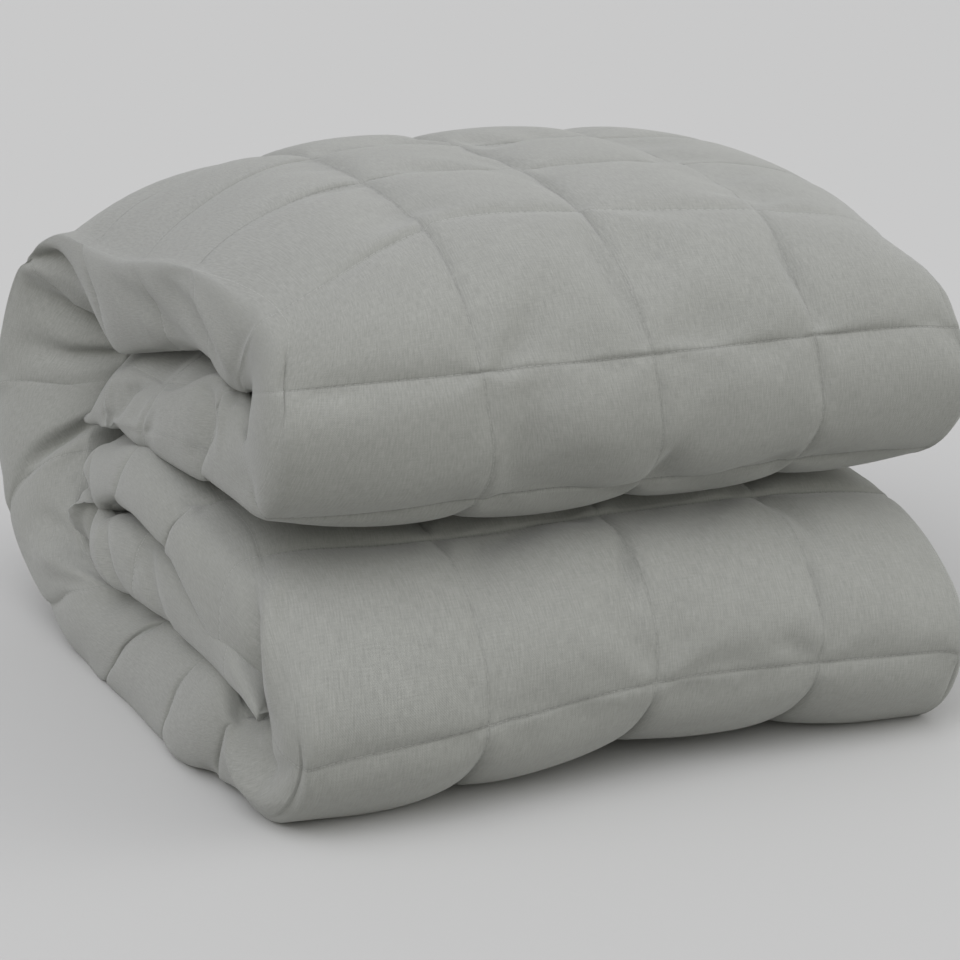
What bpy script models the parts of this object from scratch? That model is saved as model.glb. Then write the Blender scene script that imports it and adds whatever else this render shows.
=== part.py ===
"""A quilted weighted blanket, folded for the shelf.

The blanket is folded lengthwise into a thick strip, four quilted pockets wide, whose sides are
closed folds. Both ends of the strip are turned in, and the whole is folded once more round the
back, so that two round folds lie one on the other at the front. The solid is that one strip.
Its skin is laid out flat as a sheet of pockets, closed into a tube, quilted, and then folded.

X runs along the front folds, Y from the front to the back, Z up. The floor is Z = 0.
"""

import math

import bmesh
import bpy
import numpy as np

# Driving sizes, in metres unless a comment says otherwise.
POCKET = 0.1016  # one quilted pocket, from seam to seam
POCKETS_WIDE = 4  # pockets across the face of the strip
POCKETS_ROUND = 2 * (POCKETS_WIDE + 1)  # and round it: two faces and the two closed folds
WIDE = POCKETS_WIDE / 2 * POCKET  # half the width between the outer seams at the front
STEPS = 4  # mesh steps in a pocket, each way
ROWS_BETWEEN_FRONT_SEAMS = 12  # pockets along the outside, from the upper front seam to the lower
SEAM_DEPTH_OUTER = 0.0080  # how far a seam is drawn in on the side of the strip that faces out
SEAM_DEPTH_INNER = 0.0045  # and on the side that faces into the fold
SEAM_DEPTH_THIN = 0.4  # the most that a seam draws in, as a share of half the thickness there
INNER_GAP = 0.0015  # half the least gap left inside a fold
GAP_REACH = 0.30  # pockets along the strip over which it thins towards a tight fold
SIDE_SHARE = 0.25  # share of any flare beyond this that the closed fold takes, the rest moves the seam
SIDE_ROUND = 2.3  # how square the closed folds are: 2 is round
END_POWER = 4.0  # how late across the face it thins and sinks towards its ends
SPREAD_POWER = 3  # how late across the face the seams spread towards a flared end
PILE_MIDDLE_X = -0.135 * POCKET  # the middle of the pile, from the middle column seam
PILE_MIDDLE_Y = 2.335 * POCKET  # and from the point where the table counts y from
BLANKET_GREY = (0.33, 0.34, 0.32)

# The strip's centre line at mid width, from the end tucked in at the top to the end tucked in
# below, in pockets: y is behind the front seam and z above the floor. half is half the strip's
# thickness there, and end the share of it left at the outer seams. left and right are how far
# the closed sides flare out. left_z and right_z are how far the line lifts at the outer seams.
# tuck is how far the side that faces into the fold is drawn in at the left, and pinch the share
# of its thickness that it loses there.
FOLD_COLUMNS = ("name", "y", "z", "half", "end", "left", "right", "left_z", "right_z", "tuck", "pinch")
FOLDS = [
    ("top_end_hem", 3.80, 1.76, 0.04, 1.00, 0.06, -0.08, -0.32, -0.12, 0.00, 0.00),
    ("top_end", 3.58, 2.02, 0.26, 0.72, 0.10, -0.04, -0.38, -0.12, 0.05, 0.00),
    ("tucked_top_back", 2.85, 2.15, 0.315, 0.66, 0.16, 0.00, -0.36, -0.10, 0.06, 0.00),
    ("tucked_top_middle", 2.05, 2.10, 0.33, 0.70, 0.14, 0.02, -0.27, -0.08, 0.06, 0.00),
    ("tucked_top_front", 1.30, 1.92, 0.34, 0.88, 0.12, 0.04, 0.02, -0.10, 0.08, 0.00),
    ("upper_fold_under", 0.72, 1.805, 0.335, 0.90, 0.10, 0.06, 0.17, 0.02, 0.08, 0.00),
    ("upper_fold_low", 0.45, 1.88, 0.335, 0.90, 0.06, 0.08, 0.08, 0.02, 0.02, 0.35),
    ("upper_fold_front", 0.33, 2.14, 0.34, 0.92, 0.05, 0.08, 0.05, -0.04, 0.00, 0.50),
    ("upper_fold_high", 0.40, 2.43, 0.34, 0.80, 0.06, 0.02, -0.03, -0.12, 0.05, 0.35),
    ("upper_fold_over", 0.76, 2.65, 0.35, 0.84, 0.10, 0.01, -0.195, -0.29, 0.08, 0.00),
    ("top_front", 1.45, 2.765, 0.345, 0.76, 0.14, 0.04, -0.29, -0.175, 0.12, 0.00),
    ("top_middle", 2.30, 2.815, 0.33, 0.92, 0.18, 0.05, -0.445, -0.155, 0.16, 0.00),
    ("top_back", 3.00, 2.81, 0.335, 1.04, 0.21, 0.03, -0.49, -0.20, 0.20, 0.00),
    ("spine_shoulder", 3.68, 2.65, 0.36, 0.96, 0.22, 0.02, -0.36, -0.14, 0.40, -0.10),
    ("spine_high", 4.18, 2.22, 0.385, 0.90, 0.36, 0.00, -0.21, -0.11, 0.58, -0.35),
    ("spine_back", 4.34, 1.60, 0.395, 0.92, 0.45, 0.02, -0.12, -0.06, 0.52, -0.25),
    ("spine_low", 4.15, 0.98, 0.385, 0.92, 0.42, 0.03, -0.06, -0.02, 0.32, -0.15),
    ("spine_foot", 3.68, 0.53, 0.37, 0.90, 0.38, 0.03, -0.03, 0.00, 0.12, 0.00),
    ("bottom_back", 3.05, 0.335, 0.35, 0.87, 0.34, 0.03, -0.05, -0.04, 0.06, 0.00),
    ("bottom_middle", 2.25, 0.325, 0.35, 0.93, 0.27, 0.03, -0.02, -0.04, 0.08, 0.00),
    ("bottom_front", 1.40, 0.325, 0.35, 0.97, 0.20, 0.04, 0.04, 0.00, 0.08, 0.00),
    ("lower_fold_under", 0.84, 0.33, 0.35, 0.96, 0.13, 0.05, 0.06, -0.03, 0.06, 0.00),
    ("lower_fold_low", 0.56, 0.43, 0.35, 0.97, 0.08, 0.07, -0.12, -0.11, 0.02, 0.40),
    ("lower_fold_front", 0.26, 0.73, 0.34, 0.95, 0.05, 0.07, -0.18, -0.14, 0.00, 0.70),
    ("lower_fold_high", 0.43, 0.98, 0.335, 0.94, 0.06, 0.02, -0.13, -0.14, 0.00, 0.45),
    ("lower_fold_over", 0.74, 1.10, 0.33, 0.86, 0.10, 0.01, -0.075, -0.145, -0.04, 0.10),
    ("tucked_low_front", 1.35, 1.20, 0.32, 0.52, 0.17, 0.02, 0.105, -0.02, -0.06, 0.00),
    ("tucked_low_middle", 2.15, 1.38, 0.33, 0.58, 0.18, 0.02, 0.03, 0.05, -0.08, 0.00),
    ("tucked_low_back", 2.85, 1.46, 0.33, 0.60, 0.18, 0.00, -0.24, -0.06, -0.06, 0.00),
    ("back_fold", 3.22, 1.19, 0.29, 1.00, 0.18, -0.02, -0.18, -0.07, 0.00, 0.00),
    ("low_flap_back", 2.85, 0.925, 0.20, 1.00, 0.26, -0.02, -0.12, -0.08, 0.00, -0.50),
    ("low_flap_middle", 2.20, 0.87, 0.15, 1.00, 0.28, -0.02, -0.06, -0.05, 0.00, -1.50),
    ("low_flap_front", 1.10, 0.745, 0.055, 1.00, 0.28, -0.02, -0.01, -0.01, 0.00, -5.50),
    ("low_end_hem", 0.74, 0.71, 0.02, 1.00, 0.18, -0.06, -0.02, -0.08, 0.00, -5.00),
]
# A closed fold stands out at least this far past the outer seam, in pockets, by rows along the
# strip: it is a crisp edge along the top and round the back, and soft at the two fronts.
SIDE_BULGES = [(-3.0, 0.08), (-1.0, 0.14), (0.4, 0.14), (1.4, 0.06), (7.5, 0.07), (9.5, 0.11), (13.0, 0.15)]
SHARES = ("end", "pinch")  # the columns that aren't lengths
UPPER_SEAM = {"height": 2.42, "before": 0.6}  # the front seam of the upper fold, in pockets
LOWER_SEAM = {"height": 0.64, "before": 0.4}  # and of the lower fold
CURVE_SAMPLES = 24  # samples of the curve between two rows of the table
SAMPLE = 0.02  # and the even spacing they are then given, in pockets
CORNER_SOFTENING = 2  # samples on either side over which the centre line is evened out


def smooth_through(points):
    """A curve through the rows of an array, by the Catmull-Rom rule, spaced by its first two columns."""
    ends = [2 * points[0] - points[1], *points, 2 * points[-1] - points[-2]]
    t = np.arange(CURVE_SAMPLES)[:, None] / CURVE_SAMPLES
    curve = []
    for a, b, c, d in zip(ends, ends[1:], ends[2:], ends[3:]):
        before, here, after = (math.sqrt(np.linalg.norm((q - p)[:2])) for p, q in ((a, b), (b, c), (c, d)))
        leave = (c - b) + here * ((b - a) / before - (c - a) / (before + here))
        arrive = (c - b) + here * ((d - c) / after - (d - b) / (here + after))
        bend = 3 * (c - b) - 2 * leave - arrive
        twist = leave + arrive - 2 * (c - b)
        curve.append(b + t * (leave + t * (bend + t * twist)))
    return np.concatenate([*curve, [points[-1]]])


def length_along(points):
    """The distance from the first point to each point of a line."""
    steps = np.linalg.norm(np.diff(points, axis=0), axis=1)
    return np.concatenate([[0.0], np.cumsum(steps)])


def within_reach(values, reach):
    """For each value, those of its neighbours that are no more than reach samples away."""
    padded = np.pad(values, reach, mode="edge")
    return np.lib.stride_tricks.sliding_window_view(padded, 2 * reach + 1)


def sampled_table():
    """The columns of the table as smooth values in metres, at even steps along the centre line."""
    names = FOLD_COLUMNS[1:]
    scale = [1 if name in SHARES else POCKET for name in names]
    curve = smooth_through(np.array([row[1:] for row in FOLDS]) * scale)
    travelled = length_along(curve[:, :2])
    even = np.arange(0, travelled[-1], SAMPLE * POCKET)
    strip = {name: np.interp(even, travelled, column) for name, column in zip(names, curve.T)}
    for name in ("y", "z"):
        strip[name] = within_reach(strip[name], CORNER_SOFTENING).mean(axis=1)
    return strip


def room_inside(line, along, half):
    """How thick the strip's inner half may be: thinner than the centre line's bend, with a gap left."""
    turning = np.linalg.norm(np.gradient(along, axis=0), axis=1)
    radius = np.gradient(length_along(line)) / np.maximum(turning, 1e-6)
    room = np.clip(radius - INNER_GAP, INNER_GAP, half)
    reach = round(GAP_REACH / SAMPLE)
    least = within_reach(room, reach).min(axis=1)
    return within_reach(least, reach).mean(axis=1)


def seam_place(outside, travelled, seam):
    """How far along the outside of the strip a front seam is."""
    front = np.flatnonzero(outside[:, 0] < seam["before"] * POCKET)
    return travelled[min(front, key=lambda i: abs(outside[i, 1] - seam["height"] * POCKET))]


def folded_strip():
    """The strip along its centre line: its sizes, its outward direction, and the rows of pockets."""
    strip = sampled_table()
    line = np.stack([strip.pop("y"), strip.pop("z")], axis=1)
    along = np.gradient(line, axis=0)
    along /= np.linalg.norm(along, axis=1)[:, None]
    outward = np.stack([-along[:, 1], along[:, 0]], axis=1)  # up on the top run, and so on round
    outside = line + strip["half"][:, None] * outward
    travelled = length_along(outside)
    first, last = (seam_place(outside, travelled, seam) for seam in (UPPER_SEAM, LOWER_SEAM))
    strip["inner"] = room_inside(line, along, strip["half"])
    strip["line_y"], strip["line_z"] = line.T
    strip["outward_y"], strip["outward_z"] = outward.T
    rows = (travelled - first) * ROWS_BETWEEN_FRONT_SEAMS / (last - first)
    return rows, strip


def puff(share):
    """How full a pocket is at a share of its width: 0 on its seams and 1 in its middle."""
    return np.sqrt(np.abs(np.sin(math.pi * share)))


def towards_ends(across):
    """0 at mid width, rising to 1 at the outer seams."""
    return np.clip(np.abs(across), 0, 1) ** END_POWER


def section(place, size):
    """(x, height) of the strip's outline at a place round it, in pockets from its left outer seam."""
    on_top = place <= POCKETS_WIDE
    on_right = (place > POCKETS_WIDE) & (place < POCKETS_WIDE + 1)
    on_left = place > 2 * POCKETS_WIDE + 1
    back = np.clip(place - POCKETS_WIDE - 1, 0, POCKETS_WIDE)
    across = 2 * (np.clip(place, 0, POCKETS_WIDE) - back) / POCKETS_WIDE - 1
    flare = np.where(across > 0, size["right"], size["left"])
    stand = size["bulge"] + SIDE_SHARE * np.maximum(flare - size["bulge"], 0)
    turned = math.pi * np.where(on_right, place - POCKETS_WIDE, place - 2 * POCKETS_WIDE - 1)
    inward = np.where(on_top, 0, np.where(on_left, (1 + np.cos(turned)) / 2, 1))
    flare = flare - np.where(across < 0, size["tuck"] * inward, 0)
    x = across * WIDE + (flare - stand) * across ** SPREAD_POWER
    share = 1 - (1 - size["end"]) * towards_ends(across)
    pinched = 1 - np.where(across < 0, size["pinch"], 0) * towards_ends(across)
    height = np.where(on_top, size["half"], -size["inner"] * pinched) * share
    bulge = np.abs(np.sin(turned)) ** (2 / SIDE_ROUND)
    lean = np.sign(np.cos(turned)) * np.abs(np.cos(turned)) ** (2 / SIDE_ROUND)
    side = np.where(on_right, 1, -1)
    inner = size["inner"] * np.where(on_left, 1 - size["pinch"], 1)
    middle = (size["half"] - inner) / 2 * size["end"]
    reach = (size["half"] + inner) / 2 * size["end"]
    x = np.where(on_right | on_left, x + side * stand * bulge, x)
    return x, np.where(on_right | on_left, middle + side * reach * lean, height)


def drawn_in(place, row, size):
    """The section with its seams drawn in, square to the strip's skin."""
    x, height = section(place, size)
    ahead = section((place + SAMPLE) % POCKETS_ROUND, size)
    behind = section((place - SAMPLE) % POCKETS_ROUND, size)
    tangent = np.stack([ahead[0] - behind[0], ahead[1] - behind[1]])
    tangent /= np.maximum(np.linalg.norm(tangent, axis=0), 1e-9)
    depth = np.where(place <= POCKETS_WIDE, SEAM_DEPTH_OUTER, SEAM_DEPTH_INNER)
    depth = np.minimum(depth, SEAM_DEPTH_THIN * np.minimum(size["half"], size["inner"]))
    pull = depth * (1 - puff(place % 1) * puff(row % 1))
    return x + pull * tangent[1], height - pull * tangent[0]


def folded(place, row, rows, strip):
    """The points of the skin at places round the strip and rows along it, folded into the pile."""
    size = {name: np.interp(row, rows, values) for name, values in strip.items()}
    size["bulge"] = np.interp(row, *zip(*SIDE_BULGES)) * POCKET
    x, height = drawn_in(place, row, size)
    lift = np.where(x < 0, size["left_z"], size["right_z"]) * towards_ends(x / WIDE)
    y = size["line_y"] + height * size["outward_y"]
    z = size["line_z"] + height * size["outward_z"] + lift
    return np.stack([x - PILE_MIDDLE_X, y - PILE_MIDDLE_Y, np.maximum(z, 0)], axis=1)


def ring_rows(rows):
    """The rows at which the skin has a ring of points: STEPS to a pocket, and both hems."""
    inside = np.arange(math.ceil(rows[0] * STEPS) + 1, math.floor(rows[-1] * STEPS)) / STEPS
    return np.concatenate([rows[:1], inside, rows[-1:]])


def quilted_tube():
    """The skin as a flat grid, closed into a tube, folded, and sewn shut at both hems."""
    rows, strip = folded_strip()
    rings = ring_rows(rows)
    bm = bmesh.new()
    bmesh.ops.create_grid(bm, x_segments=POCKETS_ROUND * STEPS, y_segments=len(rings) - 1, size=0.5)
    flat = np.array([vert.co for vert in bm.verts]) + 0.5
    ring = np.rint(flat[:, 1] * (len(rings) - 1)).astype(int)
    place = flat[:, 0] * POCKETS_ROUND % POCKETS_ROUND
    for vert, point in zip(bm.verts, folded(place, rings[ring], rows, strip)):
        vert.co = point
    bmesh.ops.remove_doubles(bm, verts=bm.verts, dist=1e-5)
    sew_hems(bm)
    bmesh.ops.recalc_face_normals(bm, faces=bm.faces)
    return bm


def sew_hems(bm):
    """Join the two faces of the strip to each other along its open ends."""
    bm.verts.index_update()
    loose = sorted((vert for vert in bm.verts if vert.is_boundary), key=lambda vert: vert.index)
    count = POCKETS_ROUND * STEPS
    joined = {}
    for ring in (loose[:count], loose[count:]):
        for i in range((2 * POCKETS_WIDE + 1) * STEPS // 2):
            across = ring[(2 * POCKETS_WIDE + 1) * STEPS - i]
            ring[i].co = (ring[i].co + across.co) / 2
            joined[across] = ring[i]
        for i in range(1, (STEPS + 1) // 2):
            across = ring[count - i]
            partner = ring[(2 * POCKETS_WIDE + 1) * STEPS + i]
            partner.co = (partner.co + across.co) / 2
            joined[across] = partner
    bmesh.ops.weld_verts(bm, targetmap=joined)


def cloth_material():
    """Plain weave in a heathered grey."""
    material = bpy.data.materials.new("grey_weave")
    material.use_nodes = True
    shader = material.node_tree.nodes["Principled BSDF"]
    shader.inputs["Base Color"].default_value = (*BLANKET_GREY, 1.0)
    shader.inputs["Roughness"].default_value = 0.9
    shader.inputs["Metallic"].default_value = 0.0
    return material


def build():
    for obj in list(bpy.data.objects):
        bpy.data.objects.remove(obj)
    bm = quilted_tube()
    mesh = bpy.data.meshes.new("blanket")
    bm.to_mesh(mesh)
    bm.free()
    mesh.materials.append(cloth_material())
    mesh.shade_smooth()
    blanket = bpy.data.objects.new("blanket", mesh)
    bpy.context.scene.collection.objects.link(blanket)


build()
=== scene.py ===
"""The looks of a quilted weighted blanket that lies folded in a pile."""

import math

import bmesh
import bpy
import numpy as np
from mathutils import Euler, Matrix, Vector


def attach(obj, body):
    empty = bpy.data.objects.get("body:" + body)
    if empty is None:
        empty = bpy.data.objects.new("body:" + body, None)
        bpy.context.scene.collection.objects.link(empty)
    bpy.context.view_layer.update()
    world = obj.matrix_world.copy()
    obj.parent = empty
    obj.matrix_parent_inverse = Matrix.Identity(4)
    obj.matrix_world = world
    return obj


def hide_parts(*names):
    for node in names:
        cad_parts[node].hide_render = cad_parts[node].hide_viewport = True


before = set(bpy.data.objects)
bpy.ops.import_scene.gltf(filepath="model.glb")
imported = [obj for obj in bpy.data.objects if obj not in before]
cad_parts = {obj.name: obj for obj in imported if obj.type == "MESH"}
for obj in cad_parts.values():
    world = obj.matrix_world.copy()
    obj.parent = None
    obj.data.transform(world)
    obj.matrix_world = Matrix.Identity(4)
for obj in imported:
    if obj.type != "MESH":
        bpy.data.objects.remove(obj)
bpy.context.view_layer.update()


# The camera stands about a metre in front of the left corner of the pile and half a metre above
# the floor. It looks down on the two front folds and on the open left side.

POCKET = 0.1016  # one quilted pocket, from seam to seam: the sizes below are told in pockets
CAMERA_DOWN = 16.5  # degrees that the camera looks down
CAMERA_ROUND = 24  # degrees that it looks to the right of straight back
camera_place = Vector((-5.365, -12.516, 5.17)) * POCKET
camera_turn = Euler((math.radians(90 - CAMERA_DOWN), 0, math.radians(-CAMERA_ROUND)))

camera_data = bpy.data.cameras.new("camera")
camera_data.lens = 86.25
camera_data.sensor_width = 36
camera = bpy.data.objects.new("camera", camera_data)
camera.matrix_world = Matrix.LocRotScale(camera_place, camera_turn, None)
bpy.context.scene.collection.objects.link(camera)
bpy.context.scene.camera = camera


# The blanket's skin is a shell of plain woven cloth, filled and quilted in square pockets. It is
# folded in four lengthwise, which gives a strip with two faces and two closed folds. The strip's
# ends are turned in and it is folded once more round the back.

POCKETS_WIDE = 4  # pockets across the face of the strip
POCKETS_ROUND = 2 * (POCKETS_WIDE + 1)  # and round it: two faces and the two closed folds
WIDE = POCKETS_WIDE / 2 * POCKET  # half the width between the outer seams at the front
ROWS_BETWEEN_FRONT_SEAMS = 12  # pockets along the outside, from the upper front seam to the lower
INNER_GAP = 0.0015  # half the least gap left inside a fold
GAP_REACH = 0.30  # pockets along the strip over which it thins towards a tight fold
SIDE_SHARE = 0.25  # share of a flare past its bulge that a closed fold takes: the rest moves the seam
SIDE_ROUND = 2.3  # how square the closed folds are: 2 is round
END_POWER = 4.0  # how late across the face it thins and sinks towards its ends
SPREAD_POWER = 3  # how late across the face the seams spread towards a flared end
PILE_MIDDLE_X = -0.135 * POCKET  # the middle of the pile, from the middle column seam
PILE_MIDDLE_Y = 2.335 * POCKET  # and from the point where the table counts y from
LOOSE_REACH = 0.35  # pockets from an outer seam over which the seams come loose
# A closed fold stands out at least this far past the outer seam, in pockets, by rows along the
# strip: it is a crisp edge along the top and round the back, and soft at the two fronts.
SIDE_BULGES = [
    (-3.0, 0.08),
    (-1.0, 0.14),
    (0.4, 0.14),
    (1.4, 0.06),
    (7.5, 0.07),
    (9.5, 0.11),
    (13.0, 0.15),
]
# The seams come loose at these places round the strip: at every outer seam but the inner one of
# the right closed fold.
LOOSE_PLACES = (0, POCKETS_WIDE, POCKETS_ROUND - 1, POCKETS_ROUND)
# There they keep this share of their depth, by rows along the strip: none along the top's edge,
# which is smooth, and some at the two front seams.
EDGE_HOLD = [
    (-0.4, 0.1),
    (-0.2, 0.4),
    (0.2, 0.4),
    (0.5, 0.0),
    (6.0, 0.0),
    (7.0, 0.2),
    (11.6, 0.2),
    (11.8, 0.5),
    (12.2, 0.5),
    (12.5, 0.2),
]
# On the left closed fold the seams keep this share of their depth, by rows along the strip: they
# are stretched nearly flat where it bends round a front.
SIDE_HOLD = [
    (-3.0, 0.6),
    (-1.5, 0.6),
    (-1.0, 0.1),
    (1.5, 0.1),
    (2.5, 0.45),
    (4.0, 0.65),
    (11.3, 0.65),
    (11.8, 0.2),
    (13.0, 0.2),
    (13.6, 0.65),
]
# The lengthwise seams pull in less where the strip is stretched round a front, by rows along it.
LENGTHWISE_HOLD = [
    (-2.0, 1.00),
    (-1.0, 0.75),
    (-0.5, 0.30),
    (0.0, 0.35),
    (0.5, 0.90),
    (1.1, 0.70),
    (2.0, 0.90),
    (11.0, 1.00),
    (11.7, 1.00),
    (12.1, 0.45),
    (12.6, 0.25),
    (13.2, 0.55),
    (14.0, 0.90),
]
# The crosswise seams pull in less where the top is stretched over the filling behind its edge.
CROSSWISE_HOLD = [(0.4, 1.0), (0.8, 0.3), (1.2, 0.3), (1.8, 0.7), (2.2, 0.8), (3.0, 1.0)]
SEAM_DEPTH_THIN = 0.4  # the most that a seam draws in, as a share of half the thickness there

# The strip's centre line at mid width, from the end tucked in at the top to the end tucked in
# below, in pockets: y is behind the front seam and z above the floor. half is half the strip's
# thickness there, and end the share of it left at the outer seams. left and right are how far
# the closed sides flare out. left_z and right_z are how far the line lifts at the outer seams.
# tuck is how far the side that faces into the fold is drawn in at the left, and pinch the share of
# its thickness that it loses there or, below nothing, gains. out and in_ are how far the seams are
# drawn in on the side that faces out and on the other.
FOLD_COLUMNS = (
    "name",
    "y",
    "z",
    "half",
    "end",
    "left",
    "right",
    "left_z",
    "right_z",
    "tuck",
    "pinch",
    "out",
    "in_",
)
FOLDS = [
    ("top_end_hem", 3.80, 1.76, 0.04, 1.00, 0.06, -0.08, -0.32, -0.12, 0.00, 0.00, 0.02, 0.02),
    ("top_end", 3.58, 2.02, 0.26, 0.72, 0.10, -0.04, -0.38, -0.12, 0.05, 0.00, 0.05, 0.04),
    ("tucked_top_back", 2.85, 2.15, 0.315, 0.66, 0.16, 0.00, -0.36, -0.10, 0.06, 0.00, 0.06, 0.04),
    ("tucked_top_middle", 2.05, 2.10, 0.33, 0.70, 0.14, 0.02, -0.27, -0.08, 0.06, 0.00, 0.06, 0.04),
    ("tucked_top_front", 1.30, 1.92, 0.34, 0.88, 0.12, 0.04, 0.02, -0.10, 0.08, 0.00, 0.06, 0.04),
    ("upper_fold_under", 0.72, 1.805, 0.335, 0.90, 0.10, 0.06, 0.17, 0.02, 0.08, 0.00, 0.075, 0.04),
    ("upper_fold_low", 0.45, 1.88, 0.335, 0.90, 0.06, 0.08, 0.08, 0.02, 0.02, 0.25, 0.07, 0.04),
    ("upper_fold_front", 0.33, 2.14, 0.34, 0.92, 0.05, 0.08, 0.05, -0.04, 0.00, 0.22, 0.035, 0.04),
    ("upper_fold_high", 0.40, 2.43, 0.34, 0.80, 0.06, 0.02, -0.03, -0.12, 0.05, 0.05, 0.03, 0.04),
    ("upper_fold_over", 0.76, 2.65, 0.35, 0.84, 0.10, 0.01, -0.195, -0.29, 0.08, 0.00, 0.03, 0.04),
    ("top_front", 1.45, 2.765, 0.345, 0.76, 0.14, 0.04, -0.29, -0.175, 0.16, 0.00, 0.03, 0.04),
    ("top_middle", 2.30, 2.815, 0.33, 0.92, 0.18, 0.05, -0.445, -0.155, 0.20, 0.00, 0.03, 0.04),
    ("top_back", 3.00, 2.81, 0.335, 1.04, 0.21, 0.03, -0.49, -0.20, 0.20, 0.00, 0.03, 0.04),
    ("spine_shoulder", 3.68, 2.65, 0.36, 0.96, 0.22, 0.02, -0.36, -0.14, 0.40, -0.10, 0.035, 0.04),
    ("spine_high", 4.18, 2.22, 0.385, 0.90, 0.36, 0.00, -0.21, -0.11, 0.58, -0.35, 0.04, 0.04),
    ("spine_back", 4.34, 1.60, 0.395, 0.92, 0.45, 0.02, -0.12, -0.06, 0.52, -0.25, 0.04, 0.04),
    ("spine_low", 4.15, 0.98, 0.385, 0.92, 0.42, 0.03, -0.06, -0.02, 0.32, -0.15, 0.04, 0.04),
    ("spine_foot", 3.68, 0.53, 0.37, 0.90, 0.38, 0.03, -0.03, 0.00, 0.12, 0.00, 0.06, 0.04),
    ("bottom_back", 3.05, 0.335, 0.35, 0.87, 0.34, 0.03, -0.05, -0.04, 0.06, 0.00, 0.06, 0.04),
    ("bottom_middle", 2.25, 0.325, 0.35, 0.93, 0.27, 0.03, -0.02, -0.04, 0.08, 0.00, 0.06, 0.04),
    ("bottom_front", 1.40, 0.325, 0.35, 0.97, 0.20, 0.04, 0.04, 0.00, 0.08, 0.00, 0.07, 0.04),
    ("lower_fold_under", 0.84, 0.33, 0.35, 0.96, 0.13, 0.05, 0.06, -0.03, 0.06, 0.00, 0.08, 0.04),
    ("lower_fold_low", 0.56, 0.43, 0.35, 0.97, 0.08, 0.07, -0.12, -0.11, 0.02, 0.20, 0.08, 0.04),
    ("lower_fold_front", 0.26, 0.73, 0.34, 0.95, 0.05, 0.07, -0.18, -0.14, 0.00, 0.35, 0.045, 0.04),
    ("lower_fold_high", 0.43, 0.98, 0.335, 0.94, 0.06, 0.02, -0.13, -0.14, 0.00, 0.20, 0.045, 0.04),
    ("lower_fold_over", 0.74, 1.10, 0.33, 0.86, 0.10, 0.01, -0.075, -0.145, -0.04, 0.00, 0.055, 0.04),
    ("tucked_low_front", 1.35, 1.20, 0.32, 0.52, 0.17, 0.02, 0.105, -0.02, -0.06, 0.00, 0.06, 0.04),
    ("tucked_low_middle", 2.15, 1.38, 0.33, 0.58, 0.18, 0.02, 0.03, 0.05, -0.08, 0.00, 0.06, 0.04),
    ("tucked_low_back", 2.85, 1.46, 0.33, 0.60, 0.18, 0.00, -0.24, -0.06, -0.06, -0.10, 0.06, 0.04),
    ("back_fold", 3.22, 1.19, 0.29, 1.00, 0.18, -0.02, -0.18, -0.07, 0.00, -1.00, 0.06, 0.04),
    ("low_flap_back", 2.85, 0.925, 0.20, 1.00, 0.26, -0.02, -0.12, -0.08, 0.00, -0.70, 0.06, 0.04),
    ("low_flap_middle", 2.20, 0.87, 0.15, 1.00, 0.28, -0.02, -0.06, -0.05, 0.00, -1.50, 0.05, 0.04),
    ("low_flap_front", 1.10, 0.745, 0.055, 1.00, 0.28, -0.02, -0.01, -0.01, 0.00, -4.80, 0.04, 0.03),
    ("low_end_hem", 0.74, 0.71, 0.02, 1.00, 0.18, -0.06, -0.02, -0.08, 0.00, -3.00, 0.02, 0.02),
]
SHARES = ("end", "pinch")  # the columns that aren't lengths
UPPER_SEAM = {"height": 2.42, "before": 0.6}  # the front seam of the upper fold, in pockets
LOWER_SEAM = {"height": 0.64, "before": 0.4}  # and of the lower fold
CURVE_SAMPLES = 24  # samples of the curve between two rows of the table
SAMPLE = 0.02  # and the even spacing they are then given, in pockets
CORNER_SOFTENING = 2  # samples on either side over which the centre line is evened out


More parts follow.
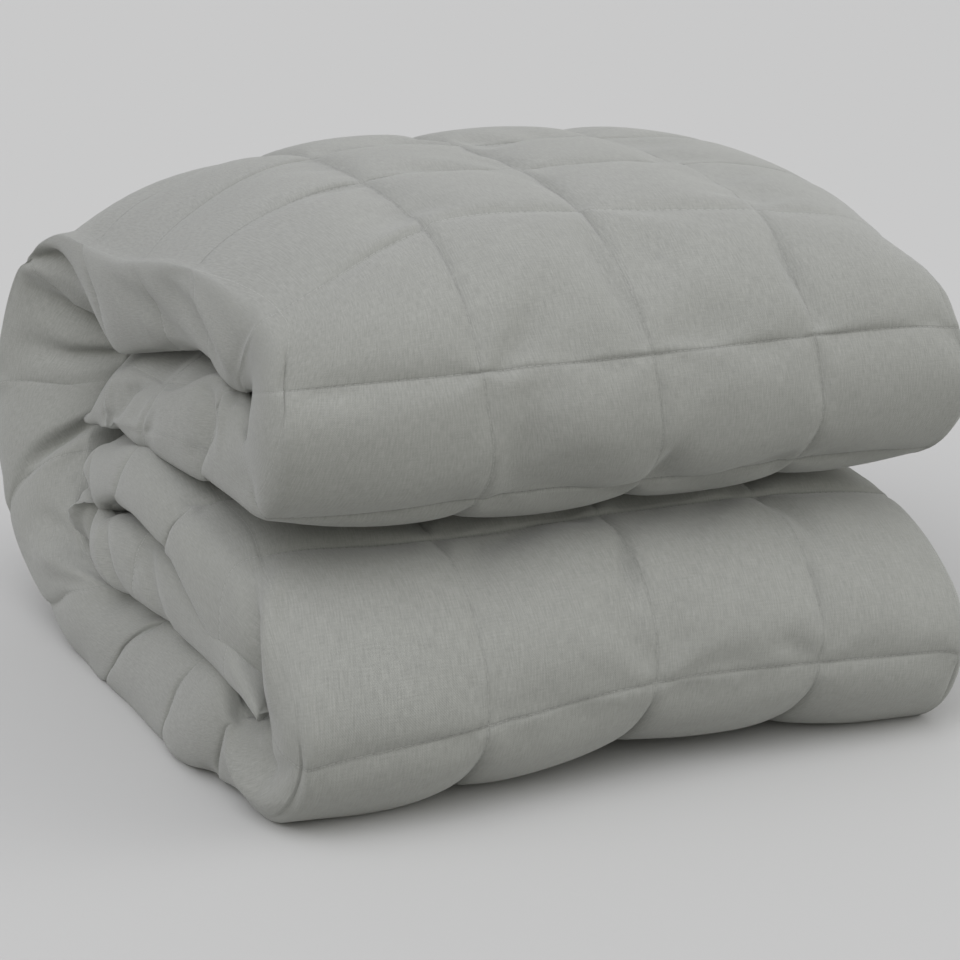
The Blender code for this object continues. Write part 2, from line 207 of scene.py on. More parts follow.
# The cloth doesn't lie quite evenly. At a place round the strip and a row along it, mostly where
# two seams cross, it has slipped this far across and along, in pockets.
SEAM_SLIPS = [
    ("upper_seam_c0", 0, 0, -0.07, 0.00),
    ("upper_seam_c1", 1, 0, 0.05, 0.00),
    ("upper_seam_c2", 2, 0, 0.03, 0.00),
    ("upper_seam_c3", 3, 0, 0.02, 0.00),
    ("upper_seam_c4", 4, 0, 0.01, 0.00),
    ("first_row_c0", 0, 1, 0.07, -0.45),
    ("first_row_c1", 1, 1, 0.08, 0.06),
    ("first_row_c2", 2, 1, 0.00, 0.08),
    ("first_row_c3", 3, 1, 0.05, -0.03),
    ("second_row_c0", 0, 2, 0.00, -0.50),
    ("second_row_c1", 1, 2, 0.12, 0.08),
    ("second_row_c2", 2, 2, 0.08, 0.08),
    ("second_row_c3", 3, 2, 0.12, 0.05),
    ("third_row_c0", 0, 3, 0.00, -0.55),
    ("third_row_c1", 1, 3, 0.15, 0.00),
    ("fourth_row_c0", 0, 4, 0.00, -0.50),
    ("fifth_row_c0", 0, 5, -0.10, -0.25),
    ("sixth_row_c0", 0, 6, -0.12, 0.00),
    ("seventh_row_c0", 0, 7, -0.10, 0.00),
    ("ridge_low_2", 9.3, 2, 0.00, -0.70),
    ("ridge_low_3", 9.3, 3, 0.00, -0.80),
    ("ridge_low_4", 9.3, 4, 0.00, -0.60),
    ("spine_side_7", 9.3, 7, 0.00, -0.25),
    ("floor_run_high_8", 9, 8, 0.00, 0.75),
    ("floor_run_high_9", 9, 9, 0.00, 0.75),
    ("floor_run_high_10", 9, 10, 0.00, 0.50),
    ("floor_run_high_11", 9, 11, 0.00, 0.40),
    ("floor_side_8", 9.6, 8, 0.00, 0.00),
    ("floor_side_9", 9.6, 9, 0.00, 0.10),
    ("floor_side_10", 9.6, 10, 0.00, 0.10),
    ("floor_side_11", 9.6, 11, 0.00, -0.10),
    ("lower_seam_c0", 0, 12, -0.19, 0.00),
    ("lower_seam_c1", 1, 12, 0.03, 0.00),
    ("lower_seam_c2", 2, 12, 0.05, 0.00),
    ("lower_seam_c3", 3, 12, 0.06, 0.00),
    ("lower_top_c0", 0, 13, 0.09, 0.30),
    ("lower_top_c1", 1, 13, 0.03, 0.20),
    ("lower_top_c2", 2, 13, 0.04, 0.20),
    ("lower_top_c3", 3, 13, 0.05, 0.20),
    ("lower_top_c4", 4, 13, 0.05, 0.20),
    ("tucked_low_14", 0, 14, 0.12, -0.10),
    ("tucked_low_15", 0, 15, 0.12, -0.15),
    ("under_c0", 0, -1, -0.35, 0.00),
    ("under_c1", 1, -1, 0.13, 0.12),
    ("under_c2", 2, -1, 0.12, 0.06),
    ("under_c3", 3, -1, 0.08, 0.07),
    ("tucked_top_low_2", 0, -2, -0.40, 0.10),
    ("tucked_top_low_3", 0, -3, -0.40, 0.10),
    ("tucked_top_high_2", 9, -2, 0.00, 0.30),
    ("tucked_top_high_3", 9, -3, 0.00, 0.20),
]
# And here the pile itself bulges or sags by this much in x, y and z, in pockets.
BULGES = [
    ("ridge_middle", 0, 2, 0.00, 0.00, 0.04),
    ("ridge_back", 0, 4, 0.00, 0.00, -0.08),
    ("upper_right_corner", 4, 0, 0.00, 0.00, 0.04),
    ("spine_left", 0, 7, -0.10, 0.00, 0.00),
    ("lower_left_tip", 9.8, 11.3, 0.00, 0.03, 0.04),
    ("behind_tip", 9.7, 10.8, -0.06, 0.00, 0.00),
    ("flap_end_left", 9.5, 19.2, 0.12, -0.60, -0.05),
    ("hem_droop", 9.5, -4.4, 0.04, 0.00, -0.05),
    ("lower_left_corner", 0.5, 11.5, 0.00, -0.08, -0.06),
    ("lower_right_corner", 3.5, 11.5, 0.00, -0.08, -0.06),
]
# The pinches and folds of the cloth between its seams: each runs from one place and row to
# another, is this deep (or, below nothing, this high) in its middle, and this wide.
CREASES = [
    ("ridge_fold_a", 9.70, 2.15, 9.35, 1.15, -0.03, 0.08),
    ("ridge_hollow_a", 9.70, 2.65, 9.35, 1.55, 0.03, 0.09),
    ("ridge_hollow_b", 9.70, 3.45, 9.35, 2.60, 0.03, 0.09),
    ("spine_hollow_high", 9.70, 5.20, 9.05, 5.05, 0.13, 0.13),
    ("spine_hollow_middle", 9.65, 5.68, 9.05, 5.58, 0.09, 0.10),
    ("spine_hollow_low", 9.55, 6.95, 8.95, 6.70, 0.12, 0.08),
    ("pinch_high", 9.95, 5.00, 9.62, 4.45, 0.12, 0.07),
    ("upper_front_fold", 9.55, -1.35, 9.10, -0.35, 0.05, 0.09),
    ("tucked_top_fold", 9.85, -1.60, 9.25, -2.10, -0.05, 0.08),
    ("tucked_top_hollow", 9.90, -1.95, 9.30, -2.40, 0.05, 0.08),
    ("lower_front_fold_a", 9.80, 12.75, 9.35, 12.40, 0.09, 0.08),
    ("lower_front_fold_b", 0.10, 12.85, 9.70, 12.30, -0.05, 0.08),
    ("lower_front_fold_c", 9.80, 11.60, 9.40, 11.95, 0.04, 0.08),
    ("tip_fold_a", 9.55, 11.20, 9.95, 11.75, -0.06, 0.07),
    ("tip_fold_b", 9.45, 11.45, 9.95, 12.05, 0.03, 0.07),
    ("flap_fold_a", 9.80, 17.20, 9.20, 16.80, 0.10, 0.08),
    ("flap_fold_b", 9.85, 16.80, 9.15, 16.45, -0.09, 0.07),
    ("flap_fold_c", 9.80, 16.45, 9.10, 16.05, 0.11, 0.08),
    ("flap_fold_d", 9.85, 17.85, 9.20, 17.45, 0.08, 0.08),
    ("flap_fold_e", 9.85, 18.35, 9.20, 18.10, 0.06, 0.08),
    ("hem_fold_a", 9.85, -3.55, 9.30, -3.35, 0.06, 0.06),
    ("hem_fold_b", 9.80, -3.80, 9.25, -3.70, -0.05, 0.06),
    ("hem_fold_c", 9.85, -4.05, 9.30, -3.98, 0.06, 0.06),
    ("upper_c1_pucker", 1.15, 0.06, 1.45, 0.32, 0.03, 0.07),
    ("upper_c1_fold", 1.30, -0.10, 1.12, -0.70, 0.03, 0.10),
    ("upper_c2_crease", 1.95, 0.10, 1.88, 0.75, 0.03, 0.06),
    ("upper_c2_dimple", 2.05, -0.95, 2.12, -0.60, 0.03, 0.08),
    ("upper_c3_crease", 3.02, 0.12, 2.95, 0.70, 0.03, 0.07),
    ("lower_c2_crease", 2.00, 12.06, 1.70, 12.45, 0.04, 0.07),
    ("lower_c2_dimple", 1.98, 12.75, 1.90, 12.45, 0.05, 0.06),
    ("lower_c2_fold", 2.04, 12.04, 2.38, 12.18, -0.02, 0.06),
    ("lower_c3_crease", 3.02, 12.95, 3.18, 12.50, 0.025, 0.08),
    ("lower_c3_pucker", 2.96, 12.06, 2.70, 12.16, 0.03, 0.06),
    ("floor_fold_back", 9.50, 7.62, 9.10, 7.90, -0.06, 0.06),
    ("floor_hollow_back", 9.45, 7.40, 9.05, 7.60, 0.08, 0.08),
]
BLEND_REACH = 0.7  # pockets over which a slip or a bulge fades
CREASE_END = 0.04  # share of a crease's length at each end over which it keeps the same depth


def along_strip(table, row):
    """What a table of rows and values gives at a row along the strip."""
    return np.interp(row, *zip(*table))


def firmness(place, row):
    """The share of their depth that the seams have at a place round the strip, less at the sides."""
    from_edge = np.abs(place[..., None] - np.array(LOOSE_PLACES))
    loose = np.exp(-((from_edge.min(axis=-1) / LOOSE_REACH) ** 2) / 2)
    share = 1 - (1 - along_strip(EDGE_HOLD, row)) * loose
    return np.where(place > POCKETS_ROUND - 1, along_strip(SIDE_HOLD, row) * share, share)


def blended(table, place, row):
    """What a table gives for some points of the skin, blended smoothly between its own points."""
    spots = np.array([entry[1:3] for entry in table], dtype=float)
    values = np.array([entry[3:] for entry in table])

    def nearness(places, rows_there):
        around = places[:, None] - spots[:, 0]
        around -= POCKETS_ROUND * np.rint(around / POCKETS_ROUND)
        return np.exp(-(around**2 + (rows_there[:, None] - spots[:, 1]) ** 2) / (2 * BLEND_REACH**2))

    weights = np.linalg.solve(nearness(spots[:, 0], spots[:, 1]), values)
    return (nearness(place, row) @ weights).T


def creased(place, row):
    """How far the creases sink the skin there, in pockets."""
    sunk = np.zeros(len(place))
    for _, place_a, row_a, place_b, row_b, depth, width in CREASES:
        run = (place_b - place_a + POCKETS_ROUND / 2) % POCKETS_ROUND - POCKETS_ROUND / 2
        step = np.array([run, row_b - row_a])
        around = (place - place_a + POCKETS_ROUND / 2) % POCKETS_ROUND - POCKETS_ROUND / 2
        offset = np.stack([around, row - row_a])
        share = np.clip((step @ offset) / (step @ step), 0, 1)
        away = np.linalg.norm(offset - share * step[:, None], axis=0)
        fading = np.sqrt(np.sin(math.pi * np.clip(share, CREASE_END, 1 - CREASE_END)))
        sunk += depth * fading * np.exp(-((away / width) ** 2))
    return sunk


def smooth_through(points):
    """A curve through the rows of an array, by the Catmull-Rom rule, spaced by its first two columns."""
    ends = [2 * points[0] - points[1], *points, 2 * points[-1] - points[-2]]
    t = np.arange(CURVE_SAMPLES)[:, None] / CURVE_SAMPLES
    curve = []
    for a, b, c, d in zip(ends, ends[1:], ends[2:], ends[3:]):
        spans = ((a, b), (b, c), (c, d))
        before, here, after = (math.sqrt(np.linalg.norm((q - p)[:2])) for p, q in spans)
        leave = (c - b) + here * ((b - a) / before - (c - a) / (before + here))
        arrive = (c - b) + here * ((d - c) / after - (d - b) / (here + after))
        bend = 3 * (c - b) - 2 * leave - arrive
        twist = leave + arrive - 2 * (c - b)
        curve.append(b + t * (leave + t * (bend + t * twist)))
    return np.concatenate([*curve, [points[-1]]])


def length_along(points):
    """The distance from the first point to each point of a line."""
    steps = np.linalg.norm(np.diff(points, axis=0), axis=1)
    return np.concatenate([[0.0], np.cumsum(steps)])


def within_reach(values, reach):
    """For each value, those of its neighbours that are no more than reach samples away."""
    padded = np.pad(values, reach, mode="edge")
    return np.lib.stride_tricks.sliding_window_view(padded, 2 * reach + 1)


def sampled_table():
    """The columns of the table as smooth values in metres, at even steps along the centre line."""
    names = FOLD_COLUMNS[1:]
    scale = [1 if name in SHARES else POCKET for name in names]
    curve = smooth_through(np.array([row[1:] for row in FOLDS]) * scale)
    travelled = length_along(curve[:, :2])
    even = np.arange(0, travelled[-1], SAMPLE * POCKET)
    strip = {name: np.interp(even, travelled, column) for name, column in zip(names, curve.T)}
    for name in ("y", "z"):
        strip[name] = within_reach(strip[name], CORNER_SOFTENING).mean(axis=1)
    return strip


def room_inside(line, along, half):
    """How thick the strip's inner half may be: thinner than the centre line's bend, with a gap left."""
    turning = np.linalg.norm(np.gradient(along, axis=0), axis=1)
    radius = np.gradient(length_along(line)) / np.maximum(turning, 1e-6)
    room = np.clip(radius - INNER_GAP, INNER_GAP, half)
    reach = round(GAP_REACH / SAMPLE)
    least = within_reach(room, reach).min(axis=1)
    return within_reach(least, reach).mean(axis=1)


def seam_place(outside, travelled, seam):
    """How far along the outside of the strip a front seam is."""
    front = np.flatnonzero(outside[:, 0] < seam["before"] * POCKET)
    return travelled[min(front, key=lambda i: abs(outside[i, 1] - seam["height"] * POCKET))]


def folded_strip():
    """The strip along its centre line: its sizes, its outward direction, and the rows of pockets."""
    strip = sampled_table()
    line = np.stack([strip.pop("y"), strip.pop("z")], axis=1)
    along = np.gradient(line, axis=0)
    along /= np.linalg.norm(along, axis=1)[:, None]
    outward = np.stack([-along[:, 1], along[:, 0]], axis=1)  # up on the top run, and so on round
    outside = line + strip["half"][:, None] * outward
    travelled = length_along(outside)
    first, last = (seam_place(outside, travelled, seam) for seam in (UPPER_SEAM, LOWER_SEAM))
    strip["inner"] = room_inside(line, along, strip["half"])
    strip["line_y"], strip["line_z"] = line.T
    strip["outward_y"], strip["outward_z"] = outward.T
    rows = (travelled - first) * ROWS_BETWEEN_FRONT_SEAMS / (last - first)
    return rows, strip


def puff(share):
    """How full a pocket is at a share of its width: 0 on its seams and 1 in its middle."""
    return np.sqrt(np.abs(np.sin(math.pi * share)))


def towards_ends(across):
    """0 at mid width, rising to 1 at the outer seams."""
    return np.clip(np.abs(across), 0, 1) ** END_POWER


def section(place, size):
    """(x, height) of the strip's outline at a place round it, in pockets from its left outer seam."""
    on_top = place <= POCKETS_WIDE
    on_right = (place > POCKETS_WIDE) & (place < POCKETS_WIDE + 1)
    on_left = place > 2 * POCKETS_WIDE + 1
    back = np.clip(place - POCKETS_WIDE - 1, 0, POCKETS_WIDE)
    across = 2 * (np.clip(place, 0, POCKETS_WIDE) - back) / POCKETS_WIDE - 1
    flare = np.where(across > 0, size["right"], size["left"])
    stand = size["bulge"] + SIDE_SHARE * np.maximum(flare - size["bulge"], 0)
    turned = math.pi * np.where(on_right, place - POCKETS_WIDE, place - 2 * POCKETS_WIDE - 1)
    inward = np.where(on_top, 0, np.where(on_left, (1 + np.cos(turned)) / 2, 1))
    flare = flare - np.where(across < 0, size["tuck"] * inward, 0)
    x = across * WIDE + (flare - stand) * across ** SPREAD_POWER
    share = 1 - (1 - size["end"]) * towards_ends(across)
    pinched = 1 - np.where(across < 0, size["pinch"], 0) * towards_ends(across)
    height = np.where(on_top, size["half"], -size["inner"] * pinched) * share
    bulge = np.abs(np.sin(turned)) ** (2 / SIDE_ROUND)
    lean = np.sign(np.cos(turned)) * np.abs(np.cos(turned)) ** (2 / SIDE_ROUND)
    side = np.where(on_right, 1, -1)
    inner = size["inner"] * np.where(on_left, 1 - size["pinch"], 1)
    middle = (size["half"] - inner) / 2 * size["end"]
    reach = (size["half"] + inner) / 2 * size["end"]
    x = np.where(on_right | on_left, x + side * stand * bulge, x)
    return x, np.where(on_right | on_left, middle + side * reach * lean, height)


def drawn_in(place, pulled, size):
    """The section with its seams drawn in, square to the strip's skin."""
    x, height = section(place, size)
    ahead = section((place + SAMPLE) % POCKETS_ROUND, size)
    behind = section((place - SAMPLE) % POCKETS_ROUND, size)
    tangent = np.stack([ahead[0] - behind[0], ahead[1] - behind[1]])
    tangent /= np.maximum(np.linalg.norm(tangent, axis=0), 1e-9)
    depth = np.where(place <= POCKETS_WIDE, size["out"], size["in_"])
    depth = np.minimum(depth, SEAM_DEPTH_THIN * np.minimum(size["half"], size["inner"]))
    pull = depth * pulled + size["crease"]
    return x + pull * tangent[1], height - pull * tangent[0]


def folded(place, row, rows, strip):
    """The points of the skin at places round the strip and rows along it, folded into the pile."""
    lengthwise = along_strip(LENGTHWISE_HOLD, row) * (1 - puff(place % 1))
    crosswise = along_strip(CROSSWISE_HOLD, row) * (1 - puff(row % 1))
    pulled = firmness(place, row) * (1 - (1 - lengthwise) * (1 - crosswise))
    crease = creased(place, row) * POCKET
    across, along = blended(SEAM_SLIPS, place, row)
    bulge = blended(BULGES, place, row) * POCKET
    place = (place + across) % POCKETS_ROUND
    row = row + along
    size = {name: np.interp(row, rows, values) for name, values in strip.items()}
    size["crease"] = crease
    size["bulge"] = along_strip(SIDE_BULGES, row) * POCKET
    x, height = drawn_in(place, pulled, size)
    lift = np.where(x < 0, size["left_z"], size["right_z"]) * towards_ends(x / WIDE)
    y = size["line_y"] + height * size["outward_y"]
    z = size["line_z"] + height * size["outward_z"] + lift
    points = np.stack([x - PILE_MIDDLE_X, y - PILE_MIDDLE_Y, z]) + bulge
    points[2] = np.maximum(points[2], 0)
    return points.T


# The cloth is cut into a grid of points for its shape, closer together at the seams, and closer
# on the faces in view than on those that lie against each other inside the pile. Its filling then
# presses out between the seams, which puckers the cloth along them.
STEPS_ROUND = [20] * 4 + [14] + [8] * 4 + [28]  # steps in each pocket round the strip
STEPS_ALONG = 24  # and in each pocket along it
SEAM_CLOSENESS = 0.6  # how much closer the steps are at a seam than on average
END_ROOM = 0.02  # pockets left between an end of the strip and the nearest ring of points
ON_SEAM = 1e-6  # pockets from a seam within which a point counts as on it
PRESSURE = 2.5  # of the filling
SLACK = 0.045  # how much longer the cloth is than the shape it is laid in, as a share
FURTHEST = 0.005  # how far a point may move when the filling presses
PRESSING_FRAMES = 14
EVENING_ROUNDS = 2  # times the movement is averaged with its neighbours'


def closer_at_seams(share):
    """Where in a pocket a point is, for its share of the pocket's steps."""
    return share - SEAM_CLOSENESS * np.sin(2 * math.pi * share) / (2 * math.pi)


rows, strip = folded_strip()
round_places = np.concatenate(
    [pocket + closer_at_seams(np.arange(steps) / steps) for pocket, steps in enumerate(STEPS_ROUND)]
    + [[POCKETS_ROUND]]
)
whole_rows = np.arange(math.floor(rows[0]), math.ceil(rows[-1]))
steps_in_row = closer_at_seams(np.arange(STEPS_ALONG) / STEPS_ALONG)
row_places = np.concatenate([row + steps_in_row for row in whole_rows])
inside = (row_places > rows[0] + END_ROOM) & (row_places < rows[-1] - END_ROOM)
row_places = np.concatenate([rows[:1], row_places[inside], rows[-1:]])


def sewn_skin(name, places_round, places_along, points):
    """The skin as an object, from its points in rings: a tube whose ends are sewn shut."""
    skin = bmesh.new()
    steps_round, steps_along = len(places_round) - 1, len(places_along) - 1
    bmesh.ops.create_grid(skin, x_segments=steps_round, y_segments=steps_along, size=0.5, calc_uvs=True)
    flat = np.array([vert.co for vert in skin.verts]) + 0.5
    column = np.rint(flat[:, 0] * steps_round).astype(int)
    ring = np.rint(flat[:, 1] * steps_along).astype(int)
    uv_layer = skin.loops.layers.uv.verify()
    for face in skin.faces:
        for loop in face.loops:
            i = loop.vert.index
            loop[uv_layer].uv = (places_round[column[i]] * POCKET, places_along[ring[i]] * POCKET)
    for vert, r, c in zip(skin.verts, ring, column):
        vert.co = points[r, c % steps_round]
    grid = {(r, c): vert for vert, r, c in zip(skin.verts, ring, column)}
    joined = {grid[r, steps_round]: grid[r, 0] for r in range(len(places_along))}
    order = [grid[r, c] for r in range(len(places_along)) for c in range(steps_round)]
    bmesh.ops.weld_verts(skin, targetmap=joined)
    for i, vert in enumerate(order):
        vert.index = i
    skin.verts.sort()
    bmesh.ops.holes_fill(skin, edges=[edge for edge in skin.edges if edge.is_boundary], sides=0)
    bmesh.ops.recalc_face_normals(skin, faces=skin.faces)
    mesh = bpy.data.meshes.new(name)
    skin.to_mesh(mesh)
    skin.free()
    mesh.shade_smooth()
    piece = bpy.data.objects.new(name, mesh)
    bpy.context.scene.collection.objects.link(piece)
    return piece


def on_seam(place):
    """Whether a place round the strip or a row along it is on a seam, one of the whole numbers."""
    return abs(place - round(place)) < ON_SEAM


def pressed_out(points):
    """How far each point of the skin moves when the filling presses, with the seams held.

    The simulation has half the points each way. Between the crosswise seams, the outer seam at
    place 0 is left free. The layers aren't made to collide with each other.
    """
    first_seam = int(np.argmin(np.abs(row_places - math.ceil(row_places[0]))))
    kept_rings = np.arange(first_seam % 2, len(row_places), 2)
    kept_rings = np.unique(np.concatenate([[0], kept_rings, [len(row_places) - 1]]))
    kept_columns = np.arange(0, len(round_places), 2)
    shown_places, shown_rows = round_places[kept_columns], row_places[kept_rings]
    held = points[kept_rings][:, kept_columns[:-1]]
    trial = sewn_skin("trial", shown_places, shown_rows, held)
    seams = trial.vertex_groups.new(name="seams")
    count = len(shown_places) - 1
    for r, row in enumerate(shown_rows):
        on_row = on_seam(row) or r in (0, len(shown_rows) - 1)
        hold = along_strip(CROSSWISE_HOLD if on_row else LENGTHWISE_HOLD, row)
        firm = firmness(shown_places[:-1], row)
        for c, place in enumerate(shown_places[:-1]):
            if on_row or (on_seam(place) and round(place) != 0):
                seams.add([r * count + c], float(hold * firm[c]), "REPLACE")
    press = trial.modifiers.new("press", "CLOTH")
    press.settings.quality = 4
    press.settings.mass = 0.3
    press.settings.tension_stiffness = 15
    press.settings.compression_stiffness = 15
    press.settings.shear_stiffness = 5
    press.settings.bending_stiffness = 0.4
    press.settings.use_pressure = True
    press.settings.uniform_pressure_force = PRESSURE
    press.settings.shrink_min = -SLACK
    press.settings.vertex_group_mass = "seams"
    press.settings.effector_weights.gravity = 0
    press.collision_settings.use_collision = False
    press.point_cache.frame_end = PRESSING_FRAMES
    for frame_number in range(1, PRESSING_FRAMES + 1):
        bpy.context.scene.frame_set(frame_number)
    shown = trial.evaluated_get(bpy.context.evaluated_depsgraph_get()).to_mesh()
    moved = np.array([vert.co for vert in shown.vertices]).reshape(held.shape) - held
    trial_mesh = trial.data
    bpy.data.objects.remove(trial)
    bpy.data.meshes.remove(trial_mesh)
    bpy.context.scene.frame_set(1)
    far = np.linalg.norm(moved, axis=2, keepdims=True)
    moved *= FURTHEST * np.tanh(far / FURTHEST) / np.maximum(far, 1e-9)
    moved = np.concatenate([moved, moved[:, :1]], axis=1)
    every_ring, every_column = np.arange(len(row_places)), np.arange(len(round_places) - 1)
    moved = np.apply_along_axis(lambda line: np.interp(every_ring, kept_rings, line), 0, moved)
    fine = np.apply_along_axis(lambda line: np.interp(every_column, kept_columns, line), 1, moved)
    for _ in range(EVENING_ROUNDS):
        fine = (np.roll(fine, 1, axis=1) + 2 * fine + np.roll(fine, -1, axis=1)) / 4
        fine[1:-1] = (fine[:-2] + 2 * fine[1:-1] + fine[2:]) / 4
    return fine


place_of, row_of = np.meshgrid(round_places[:-1], row_places)
points = folded(place_of.ravel(), row_of.ravel(), rows, strip).reshape(*place_of.shape, 3)
points = points + pressed_out(points)
points[:, :, 2] = np.maximum(points[:, :, 2], 0)
blanket = sewn_skin("blanket_skin", round_places, row_places, points)
mesh = blanket.data


class Shade:
    """A shader socket that can be added, multiplied and so on, and the nodes it comes from.

    A node's sockets are set by name, with _ for a space, or by number, as in _0.
    """

    tree = None

    def __init__(self, socket):
        self.socket = socket

    @classmethod
    def node(cls, kind, settings=None, **values):
        node = cls.tree.nodes.new(kind)
        for name, value in (settings or {}).items():
            setattr(node, name, value)
        for name, value in values.items():
            key = int(name[1:]) if name[1:].isdigit() else name.replace("_", " ")
            socket = node.inputs[key]
            if isinstance(value, Shade):
                cls.tree.links.new(value.socket, socket)
            else:
                socket.default_value = value
        return node

    @classmethod
    def sum_of(cls, operation, *values):
        inputs = {f"_{i}": value for i, value in enumerate(values)}
        return cls(cls.node("ShaderNodeMath", {"operation": operation}, **inputs).outputs[0])

    def __add__(self, other):
        return self.sum_of("ADD", self, other)

    def __sub__(self, other):
        return self.sum_of("SUBTRACT", self, other)

    def __rsub__(self, other):
        return self.sum_of("SUBTRACT", other, self)

    def __mul__(self, other):
        return self.sum_of("MULTIPLY", self, other)

    __radd__ = __add__
    __rmul__ = __mul__


# The cloth is a plain linen-like weave of heathered grey yarn, uneven in thickness, with a thread
# of the same grey sewn along the seams.
# Painted shade darkens the cloth's colour in the grooves that the seams draw in.
YARN = 0.0011  # metres from one yarn to the next but one
SLUB_WIDE = 0.0008  # how wide the thick stretches of the yarn are, in metres
SLUB_LONG = 0.0070  # and how long
MOTTLE = 0.03  # the size of the cloudy patches, in metres
SEAM_WIDE = 0.0014  # half the width of the groove that a seam draws into the cloth
STITCH = 0.0045  # from one stitch to the next
THREAD = 0.0004  # half the width of the sewing thread
STITCH_LONG = 0.36  # share of a stitch's spacing, to either side of its middle, that is thread
# All but the left closed fold, by its middle and half its width, in pockets round the strip.
FACES_MIDDLE = 4.5
FACES_HALF = 4.45
# The first seam behind the top's edge is stretched: its row, and the rows to either side.
STRETCHED_ROW = 1.0
STRETCHED_REACH = 0.4
STRETCHED_LOSS = 0.65  # the share of a seam's groove that is lost there
FOLD_GROOVE = 0.45  # the share of a crosswise seam's groove left on the left closed fold
LONG_GROOVE = 0.6  # the share of a crosswise seam's groove and thread that a lengthwise one has
GROOVE_MEAN = 0.75  # how deep the grooves are on average
GROOVE_PATCHY = 1.4  # how much the patches change that
# How much each of these adds to the cloth's brightness, and to its relief.
WARP_SHADE = 0.36
WEFT_SHADE = 0.18
FLUFF_SHADE = 0.14
WEAVE_SHADE = 0.02
PATCH_SHADE = 0.08
# the grooves' darkening is painted shade
GROOVE_PAINTED_SHADE = 0.30
# the thread's lightening is a painted highlight
THREAD_PAINTED_HIGHLIGHT = 0.35
WARP_RELIEF = 0.5
WEFT_RELIEF = 0.4
WEAVE_RELIEF = 0.2
GROOVE_RELIEF = 2.0
THREAD_RELIEF = 1.2
SHADE_MOST = 2.0  # the brightest shade there is, where 1 is the cloth's own
BRIGHTEST_YARN = (0.48, 0.487, 0.447, 1.0)  # and the colour there

cloth = bpy.data.materials.new("grey_weave")
cloth.use_nodes = True
Shade.tree = cloth.node_tree
uv = Shade.node("ShaderNodeSeparateXYZ", _0=Shade(Shade.node("ShaderNodeTexCoord").outputs["UV"]))
across, along = Shade(uv.outputs[0]), Shade(uv.outputs[1])


def noise(x, y, detail):
    """Uneven values round 0, the size of one step in x and y."""
    vector = Shade(Shade.node("ShaderNodeCombineXYZ", X=x, Y=y).outputs[0])
    flat = {"noise_dimensions": "2D"}
    node = Shade.node("ShaderNodeTexNoise", flat, Vector=vector, Scale=1.0, Detail=detail)
    return Shade(node.outputs[0]) - 0.5


def wave(distance, period):
    """A smooth wave along a distance."""
    return Shade.sum_of("SINE", distance * (2 * math.pi / period))


def near_seam(distance, wide):
    """1 on a seam that lies at every whole pocket, falling to 0 this wide away from it."""
    away = POCKET / 2 - Shade.sum_of("PINGPONG", distance + POCKET / 2, POCKET / 2)
    return Shade.sum_of("MAXIMUM", 1.0 - away * (1 / wide), 0.0)


def stitched(distance):
    """1 on the thread of each stitch along a seam, and 0 in the pinholes between."""
    return Shade.sum_of("LESS_THAN", Shade.sum_of("PINGPONG", distance, STITCH / 2), STITCH * STITCH_LONG)


warp = noise(across * (1 / SLUB_WIDE), along * (1 / SLUB_LONG), 2.0)
weft = noise(across * (1 / SLUB_LONG), along * (1 / SLUB_WIDE), 2.0)
fluff = noise(across * (1 / SLUB_WIDE), along * (1 / SLUB_WIDE), 1.0)
weave = wave(across, YARN) * wave(along, YARN)
patches = noise(across * (1 / MOTTLE), along * (1 / MOTTLE), 3.0)
on_face = Shade.sum_of("COMPARE", across, FACES_MIDDLE * POCKET, FACES_HALF * POCKET)
stretched = Shade.sum_of("COMPARE", along, STRETCHED_ROW * POCKET, STRETCHED_REACH * POCKET)
on_sides = FOLD_GROOVE + on_face * (1 - FOLD_GROOVE)
cross_seam = near_seam(along, SEAM_WIDE) * on_sides * (1.0 - stretched * STRETCHED_LOSS)
long_seam = near_seam(across, SEAM_WIDE) * on_face
deepest = Shade.sum_of("MAXIMUM", cross_seam, long_seam * LONG_GROOVE)
# The grooves sink the relief, and darken the colour as painted shade.
groove_and_painted_shade = deepest * (GROOVE_MEAN + patches * GROOVE_PATCHY)
# The stitches' thread stands up in the relief, and is painted lighter as a painted highlight.
thread_and_painted_highlight = Shade.sum_of(
    "MAXIMUM",
    near_seam(along, THREAD) * stitched(across),
    near_seam(across, THREAD) * stitched(along) * LONG_GROOVE,
)
shade = 1.0 + warp * WARP_SHADE + weft * WEFT_SHADE + fluff * FLUFF_SHADE
shade = shade + weave * WEAVE_SHADE + patches * PATCH_SHADE
shade = shade - groove_and_painted_shade * GROOVE_PAINTED_SHADE + thread_and_painted_highlight * THREAD_PAINTED_HIGHLIGHT
cloth_colour = Shade.node(
    "ShaderNodeMix",
    {"data_type": "RGBA"},
    _0=shade * (1 / SHADE_MOST),
    _6=(0.0, 0.0, 0.0, 1.0),
    _7=BRIGHTEST_YARN,
)
height = warp * WARP_RELIEF + weft * WEFT_RELIEF + weave * WEAVE_RELIEF
height = height - groove_and_painted_shade * GROOVE_RELIEF + thread_and_painted_highlight * THREAD_RELIEF
bump = Shade.node("ShaderNodeBump", Strength=0.5, Distance=0.0004, Height=height)
shader = cloth.node_tree.nodes["Principled BSDF"]
cloth.node_tree.links.new(cloth_colour.outputs[2], shader.inputs["Base Color"])
cloth.node_tree.links.new(bump.outputs[0], shader.inputs["Normal"])
shader.inputs["Roughness"].default_value = 0.9
shader.inputs["Specular IOR Level"].default_value = 0.2
shader.inputs["Sheen Weight"].default_value = 0.25
shader.inputs["Sheen Roughness"].default_value = 0.5
mesh.materials.append(cloth)

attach(blanket, "root")
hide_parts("blanket")


# A plain pale floor, matt. It fills the view from the photograph's side and from above. In some low
# views from other sides its far edge comes into view.

FLOOR_REACH = 8  # half the side of the floor, in metres
FLOOR_COLOUR = (0.46, 0.46, 0.445, 1.0)

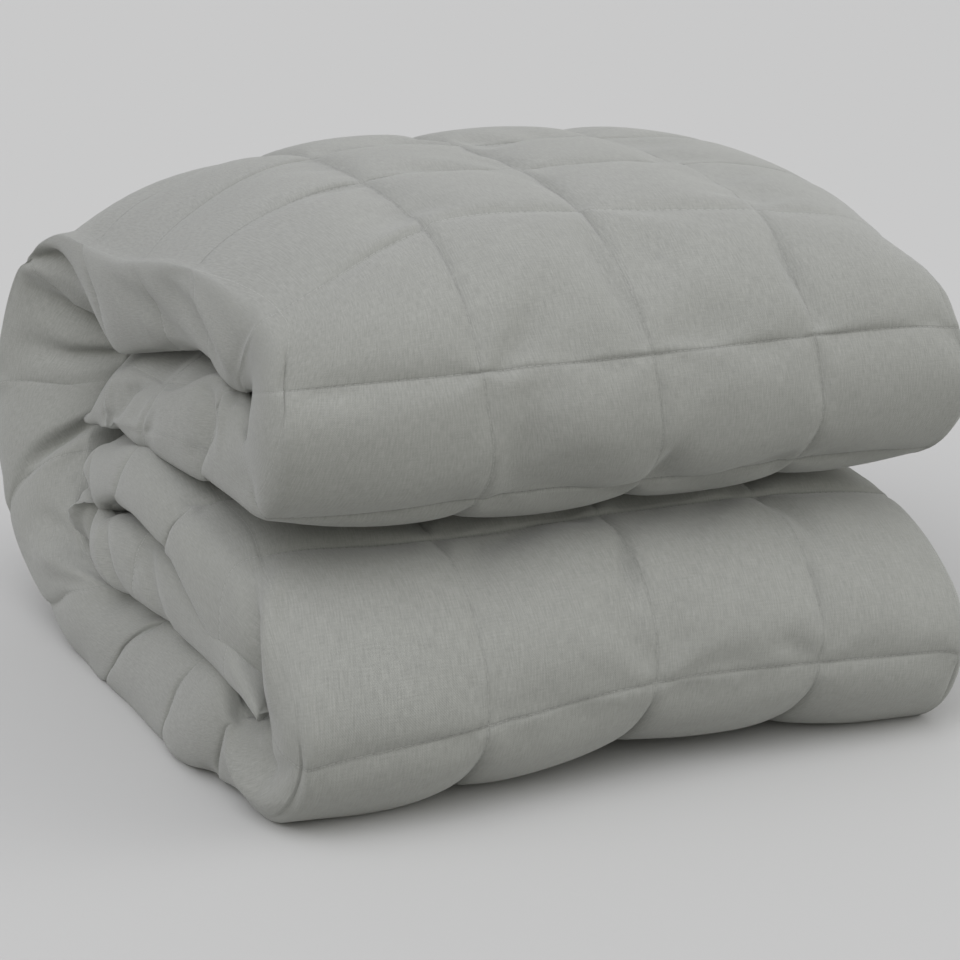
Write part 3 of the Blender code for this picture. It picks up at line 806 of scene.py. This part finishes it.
floor_shape = bmesh.new()
bmesh.ops.create_grid(floor_shape, x_segments=1, y_segments=1, size=FLOOR_REACH)
floor_mesh = bpy.data.meshes.new("floor")
floor_shape.to_mesh(floor_mesh)
floor_shape.free()
floor_paint = bpy.data.materials.new("floor_paint")
floor_paint.use_nodes = True
floor_paint.node_tree.nodes["Principled BSDF"].inputs["Base Color"].default_value = FLOOR_COLOUR
floor_paint.node_tree.nodes["Principled BSDF"].inputs["Roughness"].default_value = 0.9
floor_paint.node_tree.nodes["Principled BSDF"].inputs["Specular IOR Level"].default_value = 0.0
floor_mesh.materials.append(floor_paint)
floor = bpy.data.objects.new("floor", floor_mesh)
bpy.context.scene.collection.objects.link(floor)


# The light comes from soft, broad lights in the sky: to the left of the camera, over it and low at
# the right, with weaker ones overhead and behind the pile. Low light is a little warmer than high.

look = camera_turn.to_matrix() @ Vector((0, 0, -1))
ahead = Vector((look.x, look.y, 0)).normalized()

studio = bpy.data.worlds.new("studio")
bpy.context.scene.world = studio
studio.use_nodes = True
Shade.tree = studio.node_tree
direction = Shade(Shade.node("ShaderNodeTexCoord").outputs["Generated"])
# Each light's name, how far round it is from the camera to the right and how high, in degrees,
# how bright it is, and how tight: the power that the cosine of the angle from its middle has.
SOFT_LIGHTS = [
    ("key_left", -50, 45, 2.4, 6),
    ("front", 0, 43, 2.0, 6),
    ("above", 0, 75, 0.6, 5),
    ("right", 90, 15, 3.4, 8),
    ("behind", 180, 35, 0.9, 6),
]
LOW_LIGHT = (1.0, 1.0, 0.90, 1.0)
HIGH_LIGHT = (1.0, 1.0, 1.06, 1.0)
TINT_CHANGE = 1.4  # how fast the one turns into the other with the height in the sky
lobes = []
for name, round_, high, bright, tight in SOFT_LIGHTS:
    aim = Matrix.Rotation(math.radians(round_), 3, "Z") @ -ahead
    aim = aim * math.cos(math.radians(high)) + Vector((0, 0, math.sin(math.radians(high))))
    product = {"operation": "DOT_PRODUCT"}
    dot = Shade.node("ShaderNodeVectorMath", product, _0=direction, _1=tuple(aim))
    facing = Shade.sum_of("MAXIMUM", Shade(dot.outputs["Value"]), 0.0)
    lobes.append(Shade.sum_of("POWER", facing, float(tight)) * bright)
brightness = sum(lobes[1:], lobes[0])
ambient = studio.node_tree.nodes["Background"]
studio.node_tree.links.new(brightness.socket, ambient.inputs["Strength"])
sky_height = Shade(Shade.node("ShaderNodeSeparateXYZ", _0=direction).outputs["Z"])
tint = Shade.node(
    "ShaderNodeMix",
    {"data_type": "RGBA"},
    _0=sky_height * TINT_CHANGE,
    _6=LOW_LIGHT,
    _7=HIGH_LIGHT,
)
studio.node_tree.links.new(tint.outputs[2], ambient.inputs["Color"])
bpy.context.scene.view_settings.view_transform = "Standard"
